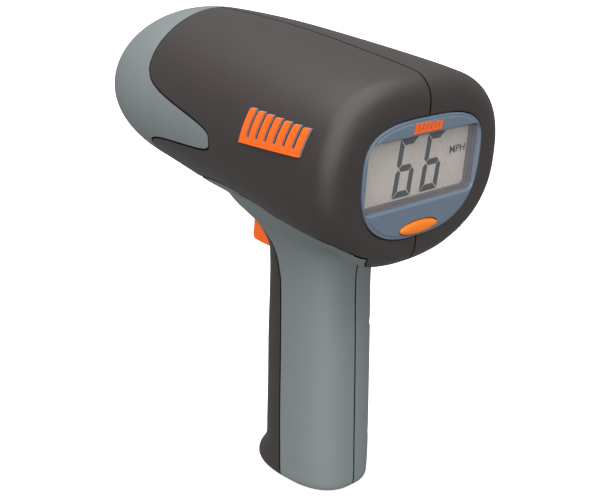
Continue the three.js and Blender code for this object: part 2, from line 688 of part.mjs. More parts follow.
function makeAntenna() {
  const { from, flangeTo, throat, mouth, to, wall } = HORN;
  const profile = [
    [throat + wall, from],
    [throat + wall, flangeTo],
    [mouth + wall, to],
    [mouth, to],
    [throat, flangeTo],
    [throat, from],
  ];
  const points = [...profile, profile[0]].map(([r, s]) => new THREE.Vector2(r, s));
  const cone = new THREE.LatheGeometry(points, 20);
  cone.rotateZ(-Math.PI / 2).translate(0, 0, AXIS_W);
  const half = FLANGE.half;
  const span = [AXIS_W - half, AXIS_W + half];
  let flange = solid(box([from, flangeTo], [-half, half], span));
  flange = flange.subtract(solid(rodX(throat + 0.5, [from - 1, flangeTo + 1], 0, AXIS_W, 20)));
  let plate = solid(box([FLANGE.from, FLANGE.to], [-half, half], span));
  const { halfV, halfW, depth } = WAVEGUIDE;
  const slit = (range) => solid(box(range, [-halfV, halfV], [AXIS_W - halfW, AXIS_W + halfW]));
  plate = plate.subtract(slit([FLANGE.from - 1, FLANGE.to + 1]));
  const moduleSpan = [AXIS_W - MODULE.half, AXIS_W + MODULE.half];
  let module = solid(box([MODULE.from, MODULE.to], [-MODULE.half, MODULE.half], moduleSpan));
  module = module.subtract(slit([MODULE.to - depth, MODULE.to + 1]));
  const { reach, head, height, shank: thin, bore: wide } = HORN_SCREW;
  for (const v of [-reach, reach]) {
    for (const w of [AXIS_W - reach, AXIS_W + reach]) {
      const bore = solid(rodX(wide, [MODULE.to - 8, flangeTo + 5], v, w, 12));
      flange = flange.subtract(bore);
      plate = plate.subtract(bore);
      module = module.subtract(bore);
      const back = flangeTo + GAP;
      const screw = solid(rodX(head, [back, back + height], v, w, 14));
      const shank = solid(rodX(thin, [MODULE.to - 6, back + 0.5], v, w, 10));
      const name = `horn_screw_${w > AXIS_W ? "upper" : "lower"}_${v > 0 ? "left" : "right"}`;
      piece(name, screw.add(shank), "steel", barrel);
    }
  }
  piece("antenna_horn", solid(cone).add(flange), "metal", barrel);
  piece("waveguide_flange", plate, "metal", barrel);
  piece("transceiver_module", module, "metal", barrel);
}

function makeMainBoard() {
  const { from, to, half, bottom, top } = MAIN_BOARD;
  let board = solid(box([from, to], [-half, half], [bottom, top]));
  const { s, v, reach } = BOARD_SCREW;
  for (const side of [-1, 1]) {
    board = board.subtract(solid(rodZ(BOARD_SCREW.bore, [bottom - 1, top + 1], s, side * v, 12)));
    const seat = top + GAP;
    const head = solid(rodZ(BOARD_SCREW.head, [seat, seat + BOARD_SCREW.height], s, side * v, 14));
    const shank = solid(rodZ(BOARD_SCREW.shank, [bottom - reach, seat + 0.5], s, side * v, 10));
    piece(`main_board_screw_${side > 0 ? "left" : "right"}`, head.add(shank), "steel", barrel);
  }
  piece("main_board", board, "board", barrel);
  const can = SHIELD_CAN;
  const lid = box([can.from, can.to], [-can.half, can.half], [top + GAP, top + can.height]);
  piece("shield_can", lid, "metal", barrel);

  // The ribbon runs down from the back of the display board and forward onto the main board.
  const back = BOARD_DEPTH[1] + GAP;
  const path = [
    [back, -30],
    [back + 0.6, -30],
    [back + 3.5, -35],
    [back + 9, -41],
    [from + 7, top + GAP + 0.6],
    [from + 7, top + GAP],
    [from + 1, top + GAP],
    [back + 8, -42],
    [back + 2.8, -35.6],
    [back, -31.2],
  ];
  piece("display_ribbon", extrudeY(path, [-RIBBON_HALF, RIBBON_HALF]), "cream", barrel);
}

// ---------------------------------------------------------------- trigger

function makeTrigger() {
  const { x, z } = TRIGGER_PIVOT;
  // Side outline: the curved finger pad in front, a hook at the foot, and the arm behind the pivot.
  const outline = [
    [x + 3.6, z + 2.4],
    [34.9, 114.6],
    [35.3, 110.8],
    [35.6, 107],
    [36.2, 103.9],
    [35.9, 102.2],
    [34.4, 101.3],
    [30, 100.6],
    [25.6, 100.3],
    [25.2, 103.5],
    [25.0, 109],
    [23.6, 113.2],
    [19.6, 115.6],
    [15.8, 117],
    [15.2, 121.0],
    [19.2, 121.2],
    [24.2, 121.0],
    [x - 1.8, z + 3.8],
    [x + 1.2, z + 4.1],
  ];
  let lever = solid(extrudeY(outline.reverse(), [-TRIGGER_HALF, TRIGGER_HALF]));
  lever = lever.subtract(solid(rodY(PIN.radius + 0.05, [-10, 10], x, z, 18)));
  const { radius, half: coilHalf, pocket, pocketHalf } = TRIGGER_SPRING;
  lever = lever.subtract(solid(rodY(pocket, [-pocketHalf, pocketHalf], x, z, 18)));
  piece("trigger", lever, "orange");
  piece("trigger_pin", rodY(PIN.radius, [-PIN.half, PIN.half], x, z, 18), "steel");

  // Torsion spring: its turns run round the pin.
  const coil = [];
  const steps = SPRING_TURNS * STEPS_PER_TURN;
  for (let i = 0; i <= steps; i++) {
    const angle = (i / STEPS_PER_TURN) * 2 * Math.PI;
    const y = coilHalf * ((2 * i) / steps - 1);
    coil.push([x + radius * Math.cos(angle), y, z + radius * Math.sin(angle)]);
  }
  piece("trigger_spring", wire(coil, TRIGGER_SPRING.wire, steps), "steel");

  const { from, to, half, bottom, plungerS, stemRadius } = TRIGGER_SWITCH;
  const body = solid(box([from, to], [-half, half], [bottom, MAIN_BOARD.bottom - GAP]));
  const well = rodZ(stemRadius + GAP, [bottom - 1, bottom + 3.5], plungerS, 0, 12);
  piece("trigger_switch", body.subtract(solid(well)), "darkPart", barrel);
  const stem = rodZ(stemRadius, [bottom - 2.2, bottom + 1.4], plungerS, 0, 12);
  piece("trigger_switch_plunger", stem, "cream", barrel);
}

// ---------------------------------------------------------------- power

function cellGeometry(bottom) {
  const { radius, length, nubRadius, nubHeight, x } = CELL;
  const profile = [
    [0, 0],
    [nubRadius, 0],
    [nubRadius, nubHeight],
    [radius - 1, nubHeight],
    [radius, nubHeight + 1],
    [radius, length - 1],
    [radius - 1, length],
    [0, length],
  ];
  const points = profile.map(([r, h]) => new THREE.Vector2(r, h));
  return new THREE.LatheGeometry(points, 20).rotateX(Math.PI / 2).translate(x, 0, bottom);
}

function makePower() {
  const upperBottom = CELL.bottom + CELL.length + GAP;
  const top = upperBottom + CELL.length;
  piece("cell_lower", cellGeometry(CELL.bottom), "cell");
  piece("cell_upper", cellGeometry(upperBottom), "cell");

  // The upper contact is a conical spring under a carrier plate.
  const coil = [];
  const { height, small, large } = CONTACT_SPRING;
  const springTop = top + height;
  const steps = SPRING_TURNS * STEPS_PER_TURN;
  for (let i = 0; i <= steps; i++) {
    const t = i / steps;
    const angle = t * SPRING_TURNS * 2 * Math.PI;
    const radius = small + (large - small) * t;
    const z = top + 0.8 + (height - 1.6) * t;
    coil.push([CELL.x + radius * Math.cos(angle), radius * Math.sin(angle), z]);
  }
  piece("contact_spring", wire(coil, CONTACT_SPRING.wire, steps), "steel");
  const under = springTop + 0.2;
  const carrier = solid(rodZ(CARRIER.radius, [under, under + CARRIER.thickness], CELL.x, 0, 20));
  const notch = solid(box([CELL.x + 11, CELL.x + 20], [-4, 4], [springTop - 2, springTop + 5]));
  piece("contact_carrier", carrier.subtract(notch), "darkPart");

  // The flat strip carries current from the door contact up the front wall.
  const stripSpan = [STRIP.bottom, springTop + 2];
  piece("contact_strip", box([STRIP.from, STRIP.to], [-STRIP.half, STRIP.half], stripSpan), "metal");

  for (const [name, y, finish] of [["positive", LEAD.y, "redWire"], ["negative", -LEAD.y, "blackWire"]]) {
    const path = [
      [-2, y, springTop + 2.9],
      [-2.4, y * 1.1, springTop + 6],
      [-5, y * 1.5, LEAD.top - 6],
      [-6, y * 1.6, LEAD.top],
    ];
    piece(`battery_lead_${name}`, wire(path, LEAD.radius, 10), finish);
  }

  const tongue = box([DOOR.back, FAR], [-DOOR.lowerHalf, DOOR.lowerHalf], [DOOR.bottom, DOOR.top]);
  const rails = box([DOOR.back, FAR], [-DOOR.upperHalf, DOOR.upperHalf], [DOOR.step, DOOR.top]);
  let door = solid(tongue).add(solid(rails)).intersect(outer);
  const grooves = GRIP_GROOVES;
  for (let i = 0; i < grooves.count; i++) {
    const x = grooves.first + i * grooves.pitch;
    const across = [-grooves.half, grooves.half];
    const groove = box([x, x + grooves.width], across, [0, DOOR.bottom + grooves.depth]);
    door = door.subtract(solid(groove));
  }
  piece("battery_door", door, "darkShell");
  const { halfX, halfY, thickness } = DOOR_CONTACT;
  const face = DOOR.top + GAP;
  piece("door_contact", box([-halfX, halfX], [-halfY, halfY], [face, face + thickness]), "metal");
}

// ---------------------------------------------------------------- raised marks

// A row of slanted bars on one rail, standing for speed. It is a plain pattern and no lettering.
function barsOutline(count, pitch, bar, heights, slant, rail) {
  const points = [[0, 0], [count * pitch - (pitch - bar), 0]];
  for (let i = count - 1; i >= 0; i--) {
    const start = i * pitch;
    const height = heights(i);
    points.push([start + bar + slant * height, height], [start + slant * height, height]);
    if (i > 0) points.push([start + slant * rail, rail], [start - pitch + bar + slant * rail, rail]);
  }
  return points;
}

function makeBadges() {
  const raised = bodyForm(-SIDE_BADGE.raised).subtract(bodyForm(-GAP));
  const outline = barsOutline(7, 5, 3.3, (i) => 12.6 - 0.45 * i, 0.22, 2.4);
  for (const side of [-1, 1]) {
    const placed = outline.map(([a, b]) => [SIDE_BADGE.front - a, SIDE_BADGE.base + b]);
    const cut = solid(extrudeY(placed.reverse(), side > 0 ? [20, 60] : [-60, -20]));
    piece(`${side > 0 ? "left" : "right"}_badge`, raised.intersect(cut), "orange");
  }
  const row = barsOutline(7, 2.25, 1.5, (i) => 3.9 - 0.12 * i, 0.22, 0.8);
  const small = row.map(([a, b]) => [DISPLAY_BADGE.left - a, DISPLAY_BADGE.base + b]);
  const face = -BEZEL_PROUD - GAP;
  const depth = [face - DISPLAY_BADGE.raised, face];
  piece("display_badge", extrudeX(small.reverse(), depth), "orange", barrel);
}

makeNose();
makeHousings();
makeGripPanels();
makeDisplay();
makeButton();
makeAntenna();
makeMainBoard();
makeTrigger();
makePower();
makeBadges();

export default group;
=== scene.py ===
# Looks of the hand-held speed radar gun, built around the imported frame.
# Tables are in millimetres, in the layout frame of the gun: origin in the middle of the handle's
# base, +X forward, +Y left, +Z up. metres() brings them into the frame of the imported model.
import json
import math

import bmesh
import bpy
import numpy as np
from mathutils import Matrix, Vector


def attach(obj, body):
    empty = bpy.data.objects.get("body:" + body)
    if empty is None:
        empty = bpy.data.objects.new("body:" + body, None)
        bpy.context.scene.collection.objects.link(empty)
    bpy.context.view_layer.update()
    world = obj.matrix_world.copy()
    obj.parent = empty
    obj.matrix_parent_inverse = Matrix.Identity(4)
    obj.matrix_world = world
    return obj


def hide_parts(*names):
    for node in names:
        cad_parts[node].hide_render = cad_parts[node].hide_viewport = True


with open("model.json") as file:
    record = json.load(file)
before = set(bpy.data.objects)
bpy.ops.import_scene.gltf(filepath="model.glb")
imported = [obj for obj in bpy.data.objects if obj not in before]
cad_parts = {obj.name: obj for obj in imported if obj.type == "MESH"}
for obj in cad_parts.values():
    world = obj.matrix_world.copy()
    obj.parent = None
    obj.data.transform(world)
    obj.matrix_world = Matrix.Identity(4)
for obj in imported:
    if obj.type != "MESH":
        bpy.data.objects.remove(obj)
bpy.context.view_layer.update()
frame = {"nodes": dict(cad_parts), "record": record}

# ---------------------------------------------------------------- sizes

MM = 0.001
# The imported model's origin is under the middle of the gun, at this x of the layout frame.
MIDDLE_X = 25.6

# The barrel has its own frame: s runs forward from the rear face, v to the left and w up.
BARREL_ORIGIN = np.array([-57.5, 0.0, 169.8])
PITCH = math.radians(5.5)
BARREL_LENGTH = 165.0
REAR_ROUND = 9.4
NOSE_LENGTH = 41.6
NOSE_INSET = 13.0
NOSE_SWEEP = math.radians(62)

# Barrel sections: s, half width, top, bottom, height of the widest point, upper and lower exponent.
BARREL = np.array([
    [0, 48.8, 12.7, -61.2, -25.0, 2.65, 2.25],
    [21, 49.7, 14.9, -62.2, -23.5, 2.45, 2.15],
    [62, 47.3, 17.6, -59.8, -19.8, 2.1, 1.95],
    [94, 44.6, 18.2, -55.5, -20.0, 2.05, 2.0],
    [127, 41.3, 16.8, -51.6, -20.5, 2.0, 2.05],
    [165, 36.9, 12.5, -50.4, -20.8, 1.95, 2.1],
])
# Handle sections: height, rear x, front x, half width, exponent.
HANDLE = np.array([
    [0, -22.0, 24.0, 17.8, 2.6],
    [2.5, -22.2, 29.0, 18.1, 2.6],
    [5, -22.3, 30.1, 18.3, 2.6],
    [8.6, -22.4, 28.8, 18.3, 2.6],
    [14.9, -22.3, 24.4, 18.3, 2.6],
    [24, -22.2, 23.6, 18.3, 2.6],
    [45, -22.1, 22.6, 18.3, 2.6],
    [64, -22.0, 22.0, 18.3, 2.6],
    [92, -21.6, 20.3, 18.3, 2.6],
    [101, -22.2, 20.2, 18.4, 2.6],
    [106, -24.6, 21.4, 18.9, 2.4],
    [110, -28.5, 24.4, 20.2, 2.25],
    [114, -37.0, 28.4, 22.8, 2.1],
    [118, -44.0, 33.2, 26.4, 1.95],
    [122, -47.5, 38.0, 30.4, 1.9],
    [126, -49.0, 42.0, 34.0, 1.9],
    [131, -51.0, 46.0, 37.0, 1.9],
])
BASE_ROUND = 3.5

# The outer form is meshed anew in cells of this size, and evened out without shrinking.
CELL = 1.1
EVEN_OUT = [0.5, -0.53] * 8
# Where the handle meets the barrel: full smoothing, its fall-off in millimetres, and rounds.
FILLET = (1.4, 4.0, 26)
FILLET_LOW = 96
# The inner faces of the shells need only this share of the outer form's triangles.
INNER_SHARE = 0.25
# Depths below the outer form: how thick the skins are, and the lip that closes the seams from inside. The
# lip is near-black, painted shade seen through the seams.
SKIN = 1.25
LIP = (1.35, 2.5)
# A near-black strip lies in every seam, a little below the skin: painted shade for the dark depth of the
# gap.
STRIP = {"top": 0.25, "bottom": 1.45, "play": 0.02}
SEAM = 0.9
# Outlines seen from the side reach past the whole gun: lowest and highest x, lowest and highest z.
WHOLE_SIDE = (-200, 200, -50, 300)
# Seam cutters run through the whole width of the gun.
CUTTER_HALF = 60
SHARP_ANGLE = 38

NOSE_SEAM = {"front": 123.2, "reach": 53.5, "centre": -22.4, "above": 8.5, "below": 6.9}
# The ledge where the dark shell ends and the grey grip panel begins, in the barrel frame (s, w).
LEDGE = [
    (-2, -62), (1.0, -57.5), (2.0, -52.5), (2.5, -48.6), (3.8, -45.6), (5.7, -44.0), (8.5, -43.3),
    (16, -42.9), (26, -42.5), (40, -41.8), (52, -41.2), (68, -41.0), (81, -42.6), (94, -46.8), (104, -52),
]
# Under the ledge the barrel draws in to the handle's width, over this depth and along a curve.
# It sets in over one stretch of s and fades out over another.
BELLY = {"half": 18.3, "depth": 24.0, "power": 2.7, "fade_in": (0, 4), "fade_out": (90, 104)}
# Behind the handle the dark shell reaches forward under the barrel, in a wedge with a round tip.
WEDGE = {"tip": -31.0, "length": 20.0, "half": 25.3, "power": 1.5, "low": 101, "high": 140}
# The front edge of the grip panel, from the tip under the barrel down to the base, as (x, z).
FRONT_SEAM = [
    (53, 125.6), (38, 122.5), (27, 120), (20, 117.4), (14.6, 114.2), (10.2, 110.2),
    (6.8, 104.6), (4.6, 98), (3.6, 90), (4.0, 60), (4.8, 30), (4.8, 1.2),
]

# Egg shapes on the barrel's ends: half width, heights above and below the centre, and exponents.
BEZEL = {"half": 32.7, "top": 18.6, "bottom": 27.8, "centre": -20.0, "upper": 3.2, "lower": 2.6}
BUTTON = {"half": 10.3, "top": 2.6, "bottom": 2.6, "centre": -44.2, "upper": 2.0, "lower": 2.0}
RADOME = {"half": 21.6, "top": 16.6, "bottom": 16.6, "centre": -19.0, "upper": 2.1, "lower": 2.1}
# The window in the bezel, in (v, w).
WINDOW = {"half": 30.8, "top": -8.0, "bottom": -34.4, "top_corner": 3.0, "bottom_corner": 2.8}
# Holes for the bezel, the button and the radome are larger than these parts by the play.
PLAY = 0.35
BEZEL_FRONT = -0.8
BEZEL_BACK = 1.0
BEZEL_ROUND = 0.4
RIM = {"width": 1.2, "step": 0.35}
SEAT_BACK = 1.34
# Rounded edges of openings, as rows of (growth of the outline, s).
SEAT_EDGE = ((0.2, 0.5), (0.4, 0.3), (1.4, -0.7))
RADOME_EDGE = ((0.2, 163.4), (0.5, 164.2), (2.2, 166))
WINDOW_EDGE = ((1.2, -1.4), (0.25, -0.35), (0.0, 0.1), (0.0, 3.0))
BUTTON_EDGE = ((1.0, -1.2), (0.35, -0.45), (0.3, 0.0))
# The button's own profile, from its flange inside to its slightly domed face.
BUTTON_CAP = (
    (0.7, 2.8), (0.7, 1.6), (0.0, 1.55), (0.0, -0.6), (-0.12, -0.95), (-0.4, -1.2),
    (-0.9, -1.4), (-1.6, -1.55), (-2.3, -1.6),
)
PANE = (0.2, 0.95)
# The dark walls between the window and the glass: outer growth and depths, then two steps inside.
RECESS = (0.3, 1.15, 4.5)
RECESS_STEPS = ((-0.25, 1.0, 2.6), (-0.9, 2.4, 5.0))
LCD_FRONT = 4.6
LCD_BACK = 6.8
LCD_GLASS = (-30.8, 30.8, -35, -7.4, 0.8)
# The two digits on the glass: left edge of the first, distance between them, and their sizes.
DIGITS = {"start": 11.4, "pitch": 15.3, "low": -33.0, "wide": 10.5, "high": 23.2, "stroke": 2.9}
DIGIT_LEAN = math.tan(math.radians(5.5))
DIGIT_GAP = 0.2
INK = (0.05, 0.01)
UNIT = {"left": -19.9, "low": -20.0, "high": -17.0, "wide": 9.1, "bold": 0.014}
RADOME_COVER = {"front": 161.6, "back": 158, "round": 1.6}

TRIGGER_PIVOT = (29.5, 118.5)
TRIGGER_HALF = 5.3
TRIGGER_BEVEL = 0.9
# The trigger's bore for its pin, and the pocket for its spring: radius and half width.
TRIGGER_BORE = (1.55, 10)
SPRING_POCKET = (4.4, 2.4)
# The slot in the handle for the trigger: half width, lowest and highest z, corner, first and last x.
SLOT = {"half": 5.9, "low": 99.4, "high": 124.6, "corner": 2.0, "from": 14, "to": 60}

# The battery door: a tongue in the base with a rail on each side. Outlines are rectangles in (x, y).
DOOR_TONGUE = ((-16.2, 60, -10.2, 10.2, 0.8), 0.8, 3.0)
DOOR_RAILS = ((-16.2, 60, -11.5, 11.5), 1.9, 3.0)
DOOR_SLOT = ((-16.5, 60, -10.5, 10.5, 1.0), -5, 2)
RAIL_SLOT = ((-16.5, 60, -11.8, 11.8), 1.6, 3.7)
GRIP_GROOVES = {"count": 5, "start": 4, "pitch": 3.5, "width": 1.3, "half": 8, "corner": 0.6, "top": 1.4}

# The housing screws as (x, z, y of the head), and radii of what belongs to each.
SCREWS = {
    "grip_lower": (-16.4, 22.3, -8.6),
    "grip_upper": (-16.4, 73.7, -8.6),
    "neck_rear": (-36, 125, -9),
    "rear_top": (-36, 176.3, -9),
    "middle_top": (12, 181.0, -9),
    "front_top": (50, 184.6, -9),
}
HEAD = {"radius": 2.5, "height": 2, "round": 0.5}
SHANK = {"radius": 1.4, "tip": 8.5}
# The cross in a head is cut by two bars, each with a half length and a half width.
CROSS = ((1.5, 0.35), (0.35, 1.5))
BORE_RADIUS = 2.9
POST_RADIUS = 3.6

# Rows of slanted bars: number, pitch, width, height of the first and its loss per bar, slant, rail.
SIDE_MARK = (7, 5.0, 3.3, 12.6, 0.45, 0.22, 2.4)
SMALL_MARK = (7, 2.25, 1.2, 3.9, 0.12, 0.22, 0.8)
SIDE_MARK_AT = (-7.5, 158.3)
SMALL_MARK_AT = (8.6, -6.6)
SMALL_MARK_DEPTH = (0.5, 0.02)
# Layers of the side marks, as heights above the skin, with their material. The light grey base layer is a
# painted highlight on the sides of the raised bars.
MARK_LAYERS = (("base", -0.05, 0.75, "badge_painted_highlight"), ("face", 0.75, 1.1, "orange"))

CAMERA = {"lens": 65.7, "sensor": 36, "place": (-312.98, 302.83, 247.39), "target": (11.76, 0, 100.54)}
# Suns as name, direction, strength and width in degrees.
SUNS = (("key", (-0.1, 0.05, 1.0), 3.0, 80), ("fill", (-0.85, 1.0, 0.42), 2.4, 70))
AMBIENT = 0.34
PAPER = (0.86, 0.86, 0.86, 1)
PAPER_GLOW = 0.85
FLOOR_HALF = 12
WHITE = (1, 1, 1, 1)

# ---------------------------------------------------------------- frames and mesh helpers


def metres(points):
    """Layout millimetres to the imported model's metres."""
    return (np.asarray(points, float) - [MIDDLE_X, 0, 0]) * MM


def from_barrel(points):
    s, v, w = np.asarray(points, float).T
    c, d = math.cos(PITCH), math.sin(PITCH)
    return np.stack([s * c - w * d, v, s * d + w * c], 1) + BARREL_ORIGIN


def mesh_of(points, faces):
    mesh = bpy.data.meshes.new("part")
    mesh.from_pydata([tuple(p) for p in metres(points)], [], [tuple(f) for f in faces])
    work = bmesh.new()
    work.from_mesh(mesh)
    bmesh.ops.recalc_face_normals(work, faces=work.faces)
    work.to_mesh(mesh)
    work.free()
    return mesh


def add(name, mesh):
    made = bpy.data.objects.new(name, mesh)
    bpy.context.scene.collection.objects.link(made)
    return made


def modified(mesh, *steps):
    """The mesh after modifiers, each given as (type, settings)."""
    holder = add("holder", mesh)
    for kind, settings in steps:
        modifier = holder.modifiers.new(kind, kind)
        for key, value in settings.items():
            setattr(modifier, key, value)
    seen = holder.evaluated_get(bpy.context.evaluated_depsgraph_get())
    result = bpy.data.meshes.new_from_object(seen)
    bpy.data.objects.remove(holder)
    return result


def combine(mesh, other, operation):
    cutter = add("cutter", other)
    result = modified(mesh, ("BOOLEAN", {"operation": operation, "solver": "MANIFOLD", "object": cutter}))
    bpy.data.objects.remove(cutter)
    return result


def cut(mesh, *others):
    for other in others:
        mesh = combine(mesh, other, "DIFFERENCE")
    return mesh


def keep(mesh, *others):
    for other in others:
        mesh = combine(mesh, other, "INTERSECT")
    return mesh


def join(mesh, *others):
    for other in others:
        mesh = combine(mesh, other, "UNION")
    return mesh


def loft(rings):
    """A closed solid through rings of equally many points, with a flat fan on each end."""
    count = len(rings[0])
    points = np.concatenate(rings)
    faces = []
    for r in range(len(rings) - 1):
        for i in range(count):
            a, b = r * count + i, r * count + (i + 1) % count
            faces.append((a, b, b + count, a + count))
    for first in (0, (len(rings) - 1) * count):
        middle = len(points)
        points = np.vstack([points, points[first:first + count].mean(0)])
        faces += [(first + i, first + (i + 1) % count, middle) for i in range(count)]
    return mesh_of(points, faces)


def prism(outline, low, high, place):
    """An outline extruded between two depths; place turns (a, b, depth) rows into layout points."""
    count = len(outline)
    ends = [np.column_stack([np.asarray(outline, float), np.full(count, d)]) for d in (low, high)]
    faces = [(i, (i + 1) % count, count + (i + 1) % count, count + i) for i in range(count)]
    faces += [tuple(range(count))[::-1], tuple(range(count, 2 * count))]
    mesh = mesh_of(place(np.vstack(ends)), faces)
    work = bmesh.new()
    work.from_mesh(mesh)
    bmesh.ops.triangulate(work, faces=[f for f in work.faces if len(f.verts) > 4])
    work.to_mesh(mesh)
    work.free()
    return mesh


def across(rows):
    """(x, z, y) rows."""
    return rows[:, [0, 2, 1]]


def along(rows):
    """(v, w, s) rows of the barrel frame."""
    return from_barrel(rows[:, [2, 0, 1]])


def side_on_barrel(rows):
    """(s, w, v) rows of the barrel frame."""
    return from_barrel(rows[:, [0, 2, 1]])


def forward(rows):
    """(y, z, x) rows."""
    return rows[:, [2, 0, 1]]


def upward(rows):
    """(x, y, z) rows."""
    return rows


def rounded(outline_points, steps=6):
    """A smooth open line through points, by Catmull-Rom pieces."""
    p = np.asarray(outline_points, float)
    ends = np.vstack([2 * p[0] - p[1], p, 2 * p[-1] - p[-2]])
    line = []
    for i in range(1, len(ends) - 2):
        a, b, c, d = ends[i - 1:i + 3]
        for k in range(steps):
            t = k / steps
            line.append(0.5 * (2 * b + (c - a) * t + (2 * a - 5 * b + 4 * c - d) * t**2
                               + (3 * b - 3 * c + d - a) * t**3))
    return np.vstack([line, p[-1]])


def grown(outline, distance):
    """A closed outline moved outwards by a distance, whichever way round it runs."""
    p = np.asarray(outline, float)
    area = np.sum(p[:, 0] * np.roll(p[:, 1], -1) - p[:, 1] * np.roll(p[:, 0], -1))
    edge = np.roll(p, -1, 0) - p
    edge /= np.linalg.norm(edge, axis=1)[:, None]
    normal = np.stack([edge[:, 1], -edge[:, 0]], 1) * np.sign(area)
    corner = normal + np.roll(normal, 1, 0)
    corner /= np.maximum(np.sum(corner * normal, 1), 0.4)[:, None]
    return p + corner * distance


def signed_power(value, exponent):
    return np.sign(value) * np.abs(value) ** exponent


def egg(shape, grow=0.0, count=96):
    angle = np.linspace(0, 2 * math.pi, count, endpoint=False)
    rising = np.sin(angle) > 0
    height = np.where(rising, shape["top"], shape["bottom"]) + grow
    power = 2 / np.where(rising, shape["upper"], shape["lower"])
    v = (shape["half"] + grow) * signed_power(np.cos(angle), power)
    w = shape["centre"] + height * signed_power(np.sin(angle), power)
    return np.stack([v, w], 1)


def window(grow=0.0, steps=8):
    points = []
    for quarter in range(4):
        upper = quarter < 2
        radius = WINDOW["top_corner" if upper else "bottom_corner"] + grow
        side = 1 if quarter in (0, 3) else -1
        v = side * (WINDOW["half"] + grow - radius)
        w = WINDOW["top"] + grow - radius if upper else WINDOW["bottom"] - grow + radius
        for i in range(steps + 1):
            angle = (quarter + i / steps) * math.pi / 2
            points.append((v + radius * math.cos(angle), w + radius * math.sin(angle)))
    return np.array(points)


def circle(radius, a, b, count=32):
    angle = np.linspace(0, 2 * math.pi, count, endpoint=False)
    return np.stack([a + radius * np.cos(angle), b + radius * np.sin(angle)], 1)


def rectangle(a0, a1, b0, b1, radius=0.0, steps=6):
    if radius == 0:
        return np.array([(a0, b0), (a1, b0), (a1, b1), (a0, b1)], float)
    points = []
    left, right, low, high = a0 + radius, a1 - radius, b0 + radius, b1 - radius
    for quarter, (a, b) in enumerate([(right, high), (left, high), (left, low), (right, low)]):
        for i in range(steps + 1):
            angle = (quarter + i / steps) * math.pi / 2
            points.append((a + radius * math.cos(angle), b + radius * math.sin(angle)))
    return np.array(points)


def flared(outline_at, rows):
    """A solid along the barrel through one outline at several sizes, from rows of (growth, s)."""
    rings = []
    for grow, s in rows:
        flat = outline_at(grow)
        rings.append(along(np.column_stack([flat, np.full(len(flat), s)])))
    return loft(rings)


def rounded_plate(outline_at, front, back, radius, place, steps=5):
    """A plate with a rounded front edge: outline_at(grow) gives the outline, front is its outer face."""
    toward = 1 if back > front else -1
    rings = []
    for i in range(steps + 1):
        angle = i / steps * math.pi / 2
        flat = outline_at(-radius * (1 - math.sin(angle)))
        depth = front + toward * radius * (1 - math.cos(angle))
        rings.append(place(np.column_stack([flat, np.full(len(flat), depth)])))
    flat = outline_at(0)
    rings.append(place(np.column_stack([flat, np.full(len(flat), back)])))
    return loft(rings)


# ---------------------------------------------------------------- outer form


def sample(stations, position):
    """Smooth values between the rows of a station table."""
    last = len(stations) - 1
    k = int(np.clip(np.searchsorted(stations[:, 0], position, side="right") - 1, 0, last - 1))
    span = stations[k + 1, 0] - stations[k, 0]
    u = min(max((position - stations[k, 0]) / span, 0), 1)

    def slope(i):
        a, b = stations[max(i - 1, 0)], stations[min(i + 1, last)]
        return (b - a) / (b[0] - a[0])

    start, end = stations[k], stations[k + 1]
    rise, fall = slope(k) * span, slope(k + 1) * span
    bend = 2 * start - 2 * end + rise + fall
    return start + u * (rise + u * (3 * end - 3 * start - 2 * rise - fall + u * bend))


def smooth_step(value, low, high):
    t = min(max((value - low) / (high - low), 0), 1)
    return t * t * (3 - 2 * t)


def drawn_in(s, v, w, inset):
    """The half widths of the barrel under the ledge, drawn in towards that of the handle."""
    _, half, _, bottom, middle, _, lower = sample(BARREL, s)
    ledge = np.interp(s, *np.transpose(LEDGE))
    fall = min((middle - ledge) / (middle - bottom), 1)
    wide = half * (1 - fall**lower) ** (1 / lower)
    t = np.clip((ledge - w) / BELLY["depth"], 0, 1)
    limit = BELLY["half"] + max(wide - BELLY["half"], 0) * (1 - t) ** BELLY["power"] - inset
    share = smooth_step(s, *BELLY["fade_in"]) * (1 - smooth_step(s, *BELLY["fade_out"]))
    narrow = np.sign(v) * np.minimum(np.abs(v), limit)
    return np.where(w < ledge, v + (narrow - v) * share, v)


def barrel_ring(s, inset, count=160):
    _, half, top, bottom, middle, upper, lower = sample(BARREL, s)
    angle = np.linspace(0, 2 * math.pi, count, endpoint=False)
    rising = np.sin(angle) > 0
    exponent = np.where(rising, upper, lower)
    height = np.where(rising, top - middle, middle - bottom) - inset
    v = (half - inset) * signed_power(np.cos(angle), 2 / exponent)
    w = middle + height * signed_power(np.sin(angle), 2 / exponent)
    return from_barrel(np.stack([np.full(count, s), drawn_in(s, v, w, inset), w], 1))


def rounded_start(radius, steps):
    """Places on a quarter round at the start of a form, as (distance along it, inset)."""
    angles = np.linspace(0, math.pi / 2, steps)
    return [(radius * (1 - math.cos(a)), radius * (1 - math.sin(a))) for a in angles]


def barrel_form():
    places = rounded_start(REAR_ROUND, 12)
    start = BARREL_LENGTH - NOSE_LENGTH
    places += [(s, 0) for s in np.linspace(REAR_ROUND, start, 48)[1:]]
    for b in np.linspace(0, NOSE_SWEEP, 20)[1:]:
        forward_part = NOSE_LENGTH * math.sin(b) / math.sin(NOSE_SWEEP)
        places.append((start + forward_part, NOSE_INSET * (1 - math.cos(b)) / (1 - math.cos(NOSE_SWEEP))))
    return loft([barrel_ring(s, inset) for s, inset in places])


def handle_ring(z, inset, count=120):
    _, rear, front, half, exponent = sample(HANDLE, z)
    angle = np.linspace(0, 2 * math.pi, count, endpoint=False)
    x = (front + rear) / 2 + ((front - rear) / 2 - inset) * signed_power(np.cos(angle), 2 / exponent)
    y = (half - inset) * signed_power(np.sin(angle), 2 / exponent)
    return np.stack([x, y, np.full(count, z)], 1)


def handle_form():
    places = rounded_start(BASE_ROUND, 7)
    places += [(z, 0) for z in np.linspace(BASE_ROUND, HANDLE[-1, 0], 100)[1:]]
    return loft([handle_ring(z, inset) for z, inset in places])


